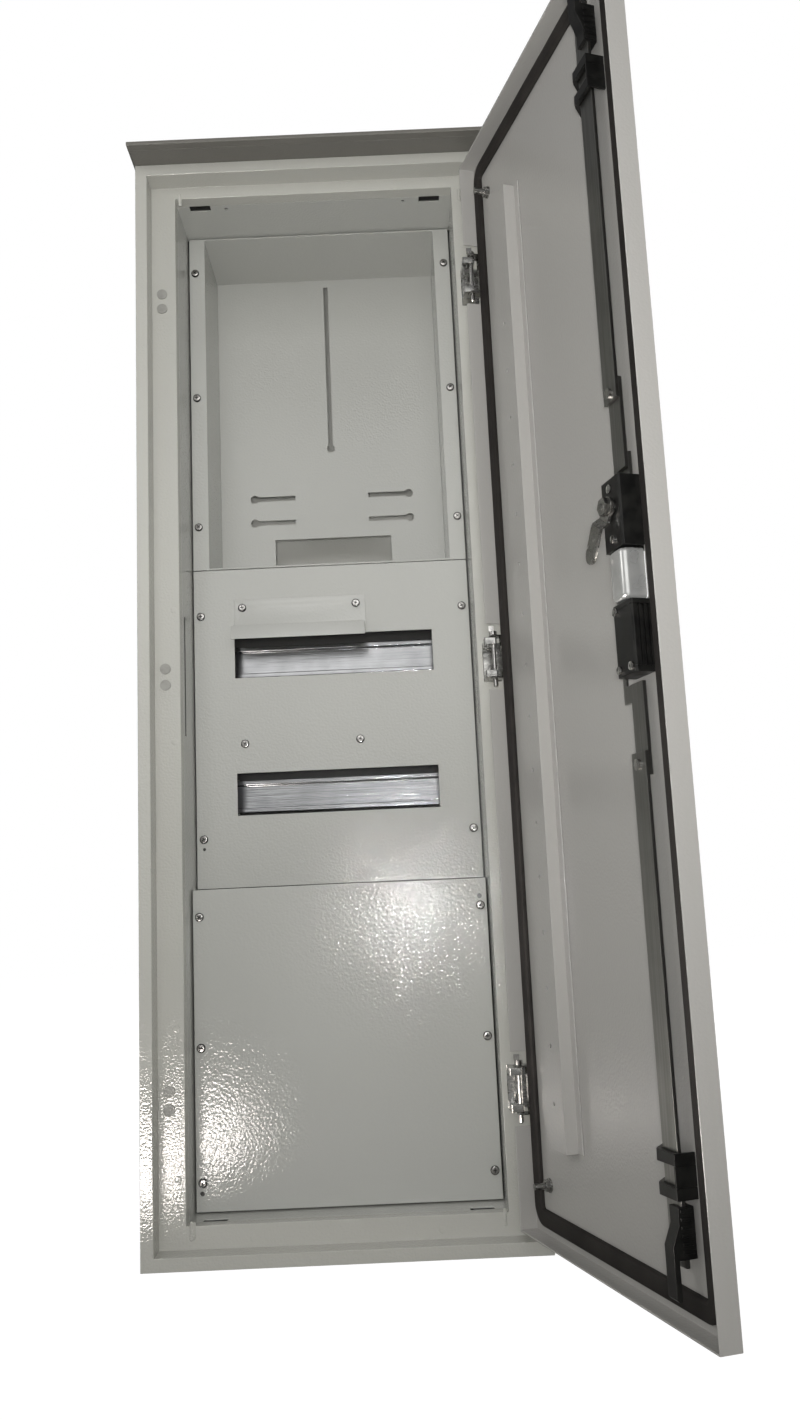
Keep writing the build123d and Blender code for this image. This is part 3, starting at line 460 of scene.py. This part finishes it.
# folded sheet pieces
foldedSheets = {
    "front_frame": {"paint": "outside", "edge": 0.70},
    "inner_liner": {"paint": "inside", "edge": 0.40, "slit": ((153.85, 49.0, 509.0), (158.0, 56.0, 641.0))},
    "rain_canopy": {"paint": "canopy", "edge": 0.70},
    "cover_rail_left": {"paint": "post", "edge": 0.50},
    "cover_rail_right": {"paint": "post", "edge": 0.50},
    "lower_post_left": {"paint": "post", "edge": 0.50},
    "lower_post_right": {"paint": "post", "edge": 0.50},
    "meter_pan": {"paint": "inside", "edge": 0.60, "shortest": 180},
    "device_cover": {"paint": "inside", "edge": 0.45},
    "lower_cover": {"paint": "inside", "edge": 0.70},
    "door_panel": {"paint": "door", "edge": 0.70},
    "door_stiffener": {"paint": "door", "edge": 0.60},
}
sheetShortest = 6.0           # millimetres, the shortest edge that is rounded on most sheets


def makeSheets():
    for name, look in foldedSheets.items():
        piece = softened(name, paint[look["paint"]], look["edge"], look.get("shortest", sheetShortest))
        if "slit" in look:
            # the cut edges of the side slits are painted dark, as painted shade inside the slits
            low, high = look["slit"]
            piece.data.materials.append(paint["hollowShade"])
            for face in piece.data.polygons:
                spot = Vector((abs(face.center.x), face.center.y + frontShift, face.center.z)) * perMetre
                if all(low[k] < spot[k] < high[k] for k in range(3)):
                    face.material_index = 1


# "split" is the height above which the back wall keeps its coat, and "middle" is half the shell's height
shellLook = {"edge": 0.70, "split": 700, "middle": 569, "facing": 0.7}


def makeShell():
    # inside, the shell is painted dark as painted shade of the unlit cavity, apart from its back wall behind
    # the meter pan
    look = shellLook
    piece = softened("body_shell", paint["outside"], look["edge"], sheetShortest)
    shape = bmesh.new()
    shape.from_mesh(piece.data)
    bmesh.ops.bisect_plane(shape, geom=list(shape.verts) + list(shape.edges) + list(shape.faces),
                           plane_co=(0, 0, look["split"] * milli), plane_no=(0, 0, 1))
    middle = Vector((0, 0, look["middle"] * milli))
    for face in shape.faces:
        spot = face.calc_center_median()
        inner = face.normal.dot(spot - middle) < 0
        backWall = face.normal.y < -look["facing"] and spot.z > look["split"] * milli
        if inner and not backWall:
            face.material_index = 1
    shape.to_mesh(piece.data)
    shape.free()
    piece.data.materials.append(paint["hollowShade"])


makeShell()
makeSheets()
print("folded sheets rounded")

# hinges, lock, rods and gland plate: each node's finish and its rounding, where 0 keeps the node itself
hardware = {
    "hinge_bracket_lower": ("zinc", 0.5),
    "hinge_bracket_middle": ("zinc", 0.5),
    "hinge_bracket_upper": ("zinc", 0.5),
    "hinge_leaf_lower": ("zinc", 0.35),
    "hinge_leaf_middle": ("zinc", 0.35),
    "hinge_leaf_upper": ("zinc", 0.35),
    "hinge_pins": ("bright", 0.0), "hinge_screws": ("bright", 0.0), "door_studs": ("zinc", 0.3),
    "handle_escutcheon": ("black", 0.6), "lock_case": ("black", 0.4), "lever": ("black", 1.2),
    "spindle": ("zinc", 0.3), "spindle_nut": ("bright", 0.35), "lever_pin": ("bright", 0.0),
    "key_plug": ("zinc", 0.2),
    "upper_link": ("strip", 0.3), "upper_strap": ("strip", 0.3), "upper_rod": ("strip", 0.35),
    "lower_link": ("strip", 0.3), "lower_strap": ("strip", 0.3), "lower_rod": ("strip", 0.35),
    "upper_rod_screw": ("bright", 0.0), "lower_rod_screw": ("bright", 0.0),
    "rail_brackets": ("zinc", 0.4),
    "gland_gasket": ("rubber", 0.0), "gland_plate": ("zinc", 0.3), "gland_screws": ("bright", 0.0),
    "hinge_hole_plugs": ("plug", 0.0),
}
hardwareShortest = 2.0        # the same for the nodes above
keptAsTheyAre = []


def makeHardware():
    for name, (material, edge) in hardware.items():
        if edge:
            softened(name, paint[material], edge, hardwareShortest)
        else:
            keptAsTheyAre.append(name)
            mesh = nodes[name].data
            mesh.materials.clear()
            mesh.materials.append(paint[material])


makeHardware()
print("hardware dressed,", len(keptAsTheyAre), "nodes kept")


def islandsOf(nodeName):
    # the two outer corners of each separate solid in a node, row by row from the lowest and left to right
    shape = copyOf(nodeName)
    waiting = set(shape.verts)
    groups = []
    for first in shape.verts:
        if first not in waiting:
            continue
        waiting.remove(first)
        line = [first]
        group = []
        while line:
            vertex = line.pop()
            group.append(vertex.co.copy())
            for edge in vertex.link_edges:
                other = edge.other_vert(vertex)
                if other in waiting:
                    waiting.remove(other)
                    line.append(other)
        low = Vector([min(c[k] for c in group) for k in range(3)])
        high = Vector([max(c[k] for c in group) for k in range(3)])
        groups.append((low, high))
    shape.free()
    return sorted(groups, key=lambda pair: (round(pair[0].z, 4), round(pair[0].x, 4)))


# outlines made into shapes
def closedLine(shape, places):
    line = [shape.verts.new(place) for place in places]
    return [shape.edges.new((line[k - 1], line[k])) for k in range(len(line))]


def prism(shape, outline, low, high, place):
    face = shape.faces.new([shape.verts.new(place(a, b, low)) for a, b in outline])
    grown = bmesh.ops.extrude_face_region(shape, geom=[face])["geom"]
    bmesh.ops.translate(shape, vec=place(0, 0, high) - place(0, 0, low),
                        verts=[v for v in grown if isinstance(v, bmesh.types.BMVert)])


def arc(centre, radius, angles):
    turns = [math.radians(angle) for angle in angles]
    return [(centre + radius * math.cos(turn), radius * math.sin(turn)) for turn in turns]


def rounded(points, radius, steps):
    # an outline with each corner turned through a small arc, which takes less than half of either side
    most = 0.49
    result = []
    for k, spot in enumerate(points):
        before, after = Vector(points[k - 1]), Vector(points[(k + 1) % len(points)])
        spot = Vector(spot)
        reach = min(radius, (before - spot).length * most, (after - spot).length * most)
        start = spot + (before - spot).normalized() * reach
        end = spot + (after - spot).normalized() * reach
        for m in range(steps + 1):
            part = m / steps
            result.append(tuple(start * (1 - part) ** 2 + spot * (2 * part * (1 - part)) + end * part ** 2))
    return result


# cross-recessed pan-head screws, driven from the front: "profile" is in shares of the head's radius and rise
screwLook = {"rise": 2.7, "turns": 24, "shank": 2.3, "sink": 0.2, "under": 0.98,
             "profile": ((0.64, 1.0), (0.80, 0.93), (0.93, 0.72), (1.0, 0.34)),
             "arm": 2.15, "half": 0.52, "deep": 1.5, "taper": 0.62, "crown": 0.99,
             "shadeRim": 0.84, "shadeReach": 1.05, "shadeTop": 0.97,
             "sharp": 0.5, "seed": 11, "mostTurn": 1.5,
             "nodes": ("pan_screws", "device_cover_screws", "hood_screws", "lower_cover_screws",
                       "rail_screws")}


def panHead(head, length):
    # a head of the given radius and its shank, with a darkened rim and recess
    look = screwLook
    rise, sink, shank = (look[k] * milli for k in ("rise", "sink", "shank"))
    outline = [(head * out, rise * up) for out, up in look["profile"]]
    outline += [(head * look["under"], -sink), (shank, -sink), (shank, -length)]
    shape = bmesh.new()
    line = [shape.verts.new((r, 0, z)) for r, z in outline]
    edges = [shape.edges.new(pair) for pair in zip(line, line[1:])]
    bmesh.ops.spin(shape, geom=line + edges, cent=(0, 0, 0), axis=(0, 0, 1), angle=math.tau,
                   steps=look["turns"], use_merge=True)
    bmesh.ops.remove_doubles(shape, verts=shape.verts, dist=meshLook["meld"])
    topEdge = rise * look["crown"]
    crown = [e for e in shape.edges if e.is_boundary and min(v.co.z for v in e.verts) > topEdge]
    arm, half = look["arm"] * milli, look["half"] * milli
    corner = [(arm, half), (half, half), (half, arm), (-half, arm), (-half, half), (-arm, half),
              (-arm, -half), (-half, -half), (-half, -arm), (half, -arm), (half, -half), (arm, -half)]
    cross = [shape.verts.new((x, y, rise)) for x, y in corner]
    rim = [shape.edges.new(pair) for pair in zip(cross, cross[1:] + cross[:1])]
    bmesh.ops.triangle_fill(shape, use_beauty=True, use_dissolve=False, edges=crown + rim, normal=(0, 0, 1))
    sunk = bmesh.ops.extrude_edge_only(shape, edges=rim)["geom"]
    floor = [v for v in sunk if isinstance(v, bmesh.types.BMVert)]
    bmesh.ops.scale(shape, vec=(look["taper"], look["taper"], 1), verts=floor)
    bmesh.ops.translate(shape, vec=(0, 0, -look["deep"] * milli), verts=floor)
    bmesh.ops.contextual_create(shape, geom=[e for e in sunk if isinstance(e, bmesh.types.BMEdge)])
    bmesh.ops.recalc_face_normals(shape, faces=shape.faces)
    for face in shape.faces:
        spot = face.calc_center_median()
        recess = spot.xy.length < arm * look["shadeReach"] and spot.z < rise * look["shadeTop"]
        if recess or spot.xy.length > head * look["shadeRim"]:
            face.material_index = 1
    return shape


def makeScrews():
    look = screwLook
    chance = random.Random(look["seed"])
    for name in look["nodes"]:
        target = bmesh.new()
        for low, high in islandsOf(name):
            middle = (low + high) / 2
            y = (low.y + frontShift) * perMetre + look["rise"]
            part = panHead((high.x - low.x) / 2, high.y - low.y - look["rise"] * milli)
            place = frontMatrix(middle.x * perMetre, y, middle.z * perMetre)
            turn = chance.uniform(0, look["mostTurn"])
            mergeInto(target, part, place @ Matrix.Rotation(turn, 4, "Z"))
            part.free()
        piece = standIn(target, name, paint["screw"], look["sharp"])
        piece.data.materials.append(paint["screwShade"])
        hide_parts(name)


makeScrews()
print("screws made")

# moulded and bent lock pieces: outlines in (u, w) run along z, those in (w, z) across the door
def onDoor(u, w, z):
    return doorPoint(u, w, z)


def acrossDoor(w, z, u):
    return doorPoint(u, w, z)


def closeShape(shape, nodeName, material, edge, sharp=0.5):
    bmesh.ops.recalc_face_normals(shape, faces=shape.faces)
    roundOver(shape, foldsOf(shape, sharp), edge)
    piece = standIn(shape, nodeName, material, sharp, True)
    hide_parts(nodeName)
    return piece


seam = 0.02                   # millimetres between two parts of a moulding, so that their faces stay apart
clampLook = {"left": 272.6, "right": 303.4, "foot": 1.6, "top": 18.0, "low": 489.6, "high": 546.9,
             "lowCap": 5.0, "highCap": 4.0, "leftChamfer": 1.5, "rightChamfer": 1.2,
             "grooves": (4.4, 8.5, 12.6), "groove": 2.1, "deep": 2.6, "edge": 0.35}


def makeClamp():
    look = clampLook
    left, right, foot, top, low, high = (look[k] for k in ("left", "right", "foot", "top", "low", "high"))
    plain = [(left, foot), (left, top - look["leftChamfer"]), (left + look["leftChamfer"], top),
             (right - look["rightChamfer"], top), (right, top - look["rightChamfer"]), (right, foot)]
    ribbed = plain[:-1]
    bottom, half = right - look["deep"], look["groove"] / 2
    for w in reversed(look["grooves"]):
        ribbed += [(right, w + half), (bottom, w + half), (bottom, w - half), (right, w - half)]
    ribbed.append((right, foot))
    shape = bmesh.new()
    prism(shape, plain, low, low + look["lowCap"], onDoor)
    prism(shape, ribbed, low + look["lowCap"] + seam, high - look["highCap"] - seam, onDoor)
    prism(shape, plain, high - look["highCap"], high, onDoor)
    closeShape(shape, "handle_clamp", paint["black"], look["edge"])


guideLook = {"wall": 299.3, "side": 301.3, "foot": 1.6, "top": 18.4, "bridge": 14.7, "tab": 8.5, "edge": 0.4,
             "outside": ((276.0, 18.4), (273.0, 16.5), (262.5, 6.0), (260.0, 1.6)),
             "inside": ((268.5, 1.6), (270.0, 4.6), (276.7, 11.0), (276.7, 14.7)),
             "nodes": {"rod_guide_lower": (111.2, 143.0), "rod_guide_upper": (986.0, 1016.8)}}


def makeGuides():
    look = guideLook
    wallLine, side, foot, top, tab = (look[k] for k in ("wall", "side", "foot", "top", "tab"))
    wall = [(wallLine, foot), (wallLine, top), (side, top), (side, foot)]
    arch = [(side, foot), (side, top), *look["outside"], *look["inside"], (wallLine, look["bridge"]),
            (wallLine, foot)]
    for name, (low, high) in look["nodes"].items():
        shape = bmesh.new()
        prism(shape, wall, low + tab + seam, high - tab - seam, onDoor)
        prism(shape, arch, low, low + tab, onDoor)
        prism(shape, arch, high - tab, high, onDoor)
        closeShape(shape, name, paint["black"], look["edge"])


# the tips' outlines are in (w, z), with z from where the tip ends towards the rod
tipLook = {"left": 286.5, "right": 299.4, "edge": 0.5,
           "outline": ((5.1, 61.8), (17.5, 61.8), (17.5, 50), (23.5, 36), (23.5, 2), (21.6, 0.1), (19.1, 0.1),
                       (19.1, 27), (5.1, 27)),
           "base": ((5.1, 61.8), (10.7, 61.8), (10.7, 30), (5.1, 30)), "baseLeft": 277.2,
           "ribs": 6, "ribStart": 31.0, "ribPitch": 5.4, "ribTall": 2.6, "ribLow": 6.6, "ribHigh": 16.4,
           "ribRise": 1.1, "nodes": {"lower_rod_tip": (45.0, 1), "upper_rod_tip": (1093.0, -1)}}


def makeTips():
    look = tipLook
    for name, (start, way) in look["nodes"].items():
        shape = bmesh.new()
        outline, base = ([(w, start + way * z) for w, z in look[k]] for k in ("outline", "base"))
        prism(shape, outline, look["left"], look["right"], acrossDoor)
        prism(shape, base, look["baseLeft"], look["left"] - seam, acrossDoor)
        for k in range(look["ribs"]):
            z = start + way * (look["ribStart"] + look["ribPitch"] * k)
            end = z + way * look["ribTall"]
            rib = [(look["ribLow"], z), (look["ribHigh"], z), (look["ribHigh"], end), (look["ribLow"], end)]
            prism(shape, rib, look["right"] + seam, look["right"] + look["ribRise"], acrossDoor)
        closeShape(shape, name, paint["black"], look["edge"])


dishLook = {"left": 276.1, "right": 299.9, "foot": 1.6, "top": 21.0, "corner": 6.0, "steps": 5, "sharp": 0.9,
            "shoulder": ((0.0, 3.2), (0.8, 1.6), (2.2, 0.5), (4.2, 0.0))}


def makeDish():
    look = dishLook
    low, high = (v[2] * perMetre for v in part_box("handle_dish"))
    levels = [(low + rise, inset) for rise, inset in look["shoulder"]]
    levels += [(high - rise, inset) for rise, inset in reversed(look["shoulder"])]
    corner = look["corner"]
    shape = bmesh.new()
    rings = []
    for z, inset in levels:
        left, right, top = look["left"] + inset, look["right"] - inset, look["top"] - inset
        ring = [(left, look["foot"])]
        for middle, start in ((left + corner, 180), (right - corner, 90)):
            for step in range(look["steps"] + 1):
                angle = math.radians(start - 90 / look["steps"] * step)
                ring.append((middle + corner * math.cos(angle), top - corner + corner * math.sin(angle)))
        ring.append((right, look["foot"]))
        rings.append(closedLine(shape, [doorPoint(u, w, z) for u, w in ring]))
    for first, second in zip(rings, rings[1:]):
        bmesh.ops.bridge_loops(shape, edges=first + second)
    bmesh.ops.contextual_create(shape, geom=rings[0])
    bmesh.ops.contextual_create(shape, geom=rings[-1])
    bmesh.ops.recalc_face_normals(shape, faces=shape.faces)
    piece = standIn(shape, "handle_dish", paint["dish"], look["sharp"], True)
    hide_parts("handle_dish")


# the cam's parts are placed by their distance from the spindle: hub, then bend, then raised bar
camLook = {"u": 288.0, "z": 624.0, "w": 21.9, "lean": 35, "half": 7.8, "thick": 3.0, "rise": 8.5, "edge": 0.4,
           "hub": 8.4, "hubArc": (52, 309, 16), "hubEnd": 11.2, "barStart": 15.8, "barEnd": 39.0, "lap": 0.1,
           "tipCentre": 39.2, "tipArc": (-75, 76, 15)}


def makeCam():
    look = camLook
    lean = math.radians(look["lean"])
    along = Vector((0, 0, -1)) * math.cos(lean) + towardsHinge * math.sin(lean)
    across = along.cross(doorInward)
    centre = doorPoint(look["u"], look["w"], look["z"])

    def onPlate(a, c, rise):
        return centre + along * (a * milli) + across * (c * milli) + doorInward * (rise * milli)

    def onBend(a, rise, c):
        return onPlate(a, c, rise)

    half, thick, rise = look["half"], look["thick"], look["rise"]
    bendStart, bendEnd = look["hubEnd"] - look["lap"], look["barStart"] + look["lap"]
    hub = [(look["hubEnd"], half), *arc(0, look["hub"], range(*look["hubArc"])), (look["hubEnd"], -half)]
    bend = [(bendStart, 0), (bendStart, thick), (bendEnd, rise), (bendEnd, rise - thick)]
    bar = [(look["barStart"], half), (look["barStart"], -half), (look["barEnd"], -half),
           *arc(look["tipCentre"], half, range(*look["tipArc"])), (look["barEnd"], half)]
    shape = bmesh.new()
    prism(shape, hub, 0, thick, onPlate)
    prism(shape, bend, -half, half, onBend)
    prism(shape, bar, rise - thick, rise, onPlate)
    closeShape(shape, "cam", paint["cam"], look["edge"])


railLook = {"section": ((128.0, -17.5), (129.2, -17.5), (129.2, -13.7), (135.5, -13.7), (135.5, 13.7),
                        (129.2, 13.7), (129.2, 17.5), (128.0, 17.5), (128.0, 12.5), (134.3, 12.5),
                        (134.3, -12.5), (128.0, -12.5)),
            "turn": 1.1, "steps": 3, "nodes": ("din_rail_upper", "din_rail_lower")}


def makeRails():
    look = railLook
    section = rounded(look["section"], look["turn"], look["steps"])
    for name in look["nodes"]:
        low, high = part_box(name)
        middle = (low[2] + high[2]) / 2 * perMetre

        def onRail(y, z, x):
            return Vector((x * milli, y * milli - frontShift, (z + middle) * milli))

        shape = bmesh.new()
        prism(shape, section, low[0] * perMetre, high[0] * perMetre, onRail)
        bmesh.ops.recalc_face_normals(shape, faces=shape.faces)
        piece = standIn(shape, name, paint["rail"], weighted=True)
        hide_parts(name)


lockScrewLook = {"edge": 0.35, "fold": 0.9, "margin": 2.0}


def makeLockScrews():
    # the case and clamp screws; the guides here are clipped on from behind
    look = lockScrewLook
    shape = copyOf("lock_screws")
    margin = look["margin"]
    levels = [((low - margin) * milli, (high + margin) * milli) for low, high in guideLook["nodes"].values()]
    spare = [v for v in shape.verts if any(low < v.co.z < high for low, high in levels)]
    bmesh.ops.delete(shape, geom=spare, context="VERTS")
    roundOver(shape, foldsOf(shape, look["fold"]), look["edge"])
    piece = standIn(shape, "lock_screws", paint["bright"])
    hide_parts("lock_screws")


hoodLook = {"splay": 0.34, "edge": 0.5, "fold": 0.9, "lip": 3.0}


def makeHood():
    # the sealing hood's lip opens a little towards its lower edge
    look = hoodLook
    shape = copyOf("sealing_hood")
    front = min(v.co.y for v in shape.verts)
    lip = [v for v in shape.verts if v.co.y < front + look["lip"] * milli]
    bend = max(v.co.z for v in lip)
    for v in lip:
        v.co.y -= (bend - v.co.z) * look["splay"]
    roundOver(shape, foldsOf(shape, look["fold"]), look["edge"])
    piece = standIn(shape, "sealing_hood", paint["hood"])
    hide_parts("sealing_hood")


makeHood()
makeLockScrews()
makeClamp()
makeGuides()
makeTips()
makeDish()
makeCam()
makeRails()
print("lock pieces and rails made")

# foam gasket inside the door's folded edge: its section is in shares of its half width and its height
gasketLook = {"left": 15.75, "right": 315.75, "low": 38.75, "high": 1099.25, "turn": 11.0, "steps": 6,
              "half": 7.75, "foot": 1.5, "tall": 4.4, "sharp": 1.0,
              "section": ((-1.0, 0.0), (-1.0, 0.55), (-0.86, 0.92), (-0.5, 1.0), (0.0, 0.94), (0.5, 1.0),
                          (0.86, 0.92), (1.0, 0.55), (1.0, 0.0))}


def makeGasket():
    look = gasketLook
    low, high, left, right, turn = (look[k] for k in ("low", "high", "left", "right", "turn"))
    path = []
    for u, z, start in ((right - turn, high - turn, 0), (left + turn, high - turn, 90),
                        (left + turn, low + turn, 180), (right - turn, low + turn, 270)):
        for step in range(look["steps"] + 1):
            angle = math.radians(start + 90 / look["steps"] * step)
            way = Vector((math.cos(angle), math.sin(angle)))
            path.append((Vector((u, z)) + way * turn, way))
    shape = bmesh.new()
    rings = []
    for spot, way in path:
        places = []
        for aside, up in look["section"]:
            place = spot + way * (aside * look["half"])
            places.append(doorPoint(place.x, look["foot"] + up * look["tall"], place.y))
        rings.append(closedLine(shape, places))
    for k in range(len(rings)):
        bmesh.ops.bridge_loops(shape, edges=rings[k - 1] + rings[k])
    bmesh.ops.recalc_face_normals(shape, faces=shape.faces)
    piece = standIn(shape, "door_gasket", paint["rubber"], look["sharp"])
    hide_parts("door_gasket")


makeGasket()
print("gasket made")

# weld runs and spot welds on the recessed band
weldRuns = (
    ((-178, 1126.5), (-151, 1126.0)), ((-148.5, 1117), (-148.3, 1105)), ((-149, 36.5), (-149, 22)),
    ((-146.6, 35.5), (-146.6, 23)), ((160, 1125.5), (169, 1125.3)), ((162, 1108), (162, 1096)),
    ((150, 36), (150, 23)),
)
spotMarks = ((-161, 76.5), (-161, 216.4), (-160, 925), (-159.6, 640), (-160, 501), (-90, 20.7), (-91, 1120.6),
             (163, 76.8), (92, 1120.6), (90, 20.7))
weldLook = {"band": 24.8, "step": 1.5, "fewest": 3, "radius": 1.75, "rise": 0.95, "radiusSpread": (0.85, 1.2),
            "riseSpread": (0.75, 1.2), "wander": 0.3, "detail": 2, "spot": 3.4, "spotRise": 0.32,
            "spotDetail": 3, "sharp": 1.2, "seed": 5}


def flattened(radius, rise, detail):
    part = bmesh.new()
    bmesh.ops.create_icosphere(part, subdivisions=detail, radius=1.0)
    bmesh.ops.scale(part, vec=(radius * milli, radius * milli, rise * milli), verts=part.verts)
    return part


def makeWelds():
    look = weldLook
    chance = random.Random(look["seed"])
    target = bmesh.new()
    for start, end in weldRuns:
        start, end = Vector(start), Vector(end)
        count = max(look["fewest"], int((end - start).length / look["step"]))
        for k in range(count + 1):
            spot = start.lerp(end, k / count)
            radius = look["radius"] * chance.uniform(*look["radiusSpread"])
            rise = look["rise"] * chance.uniform(*look["riseSpread"])
            part = flattened(radius, rise, look["detail"])
            x = spot.x + chance.uniform(-look["wander"], look["wander"])
            mergeInto(target, part, frontMatrix(x, look["band"], spot.y))
            part.free()
    for x, z in spotMarks:
        part = flattened(look["spot"], look["spotRise"], look["spotDetail"])
        mergeInto(target, part, frontMatrix(x, look["band"], z))
        part.free()
    finishShape(target, "weld_marks", paint["outside"], "cabinet", slotOf("front_frame"), look["sharp"])


makeWelds()
print("welds made")
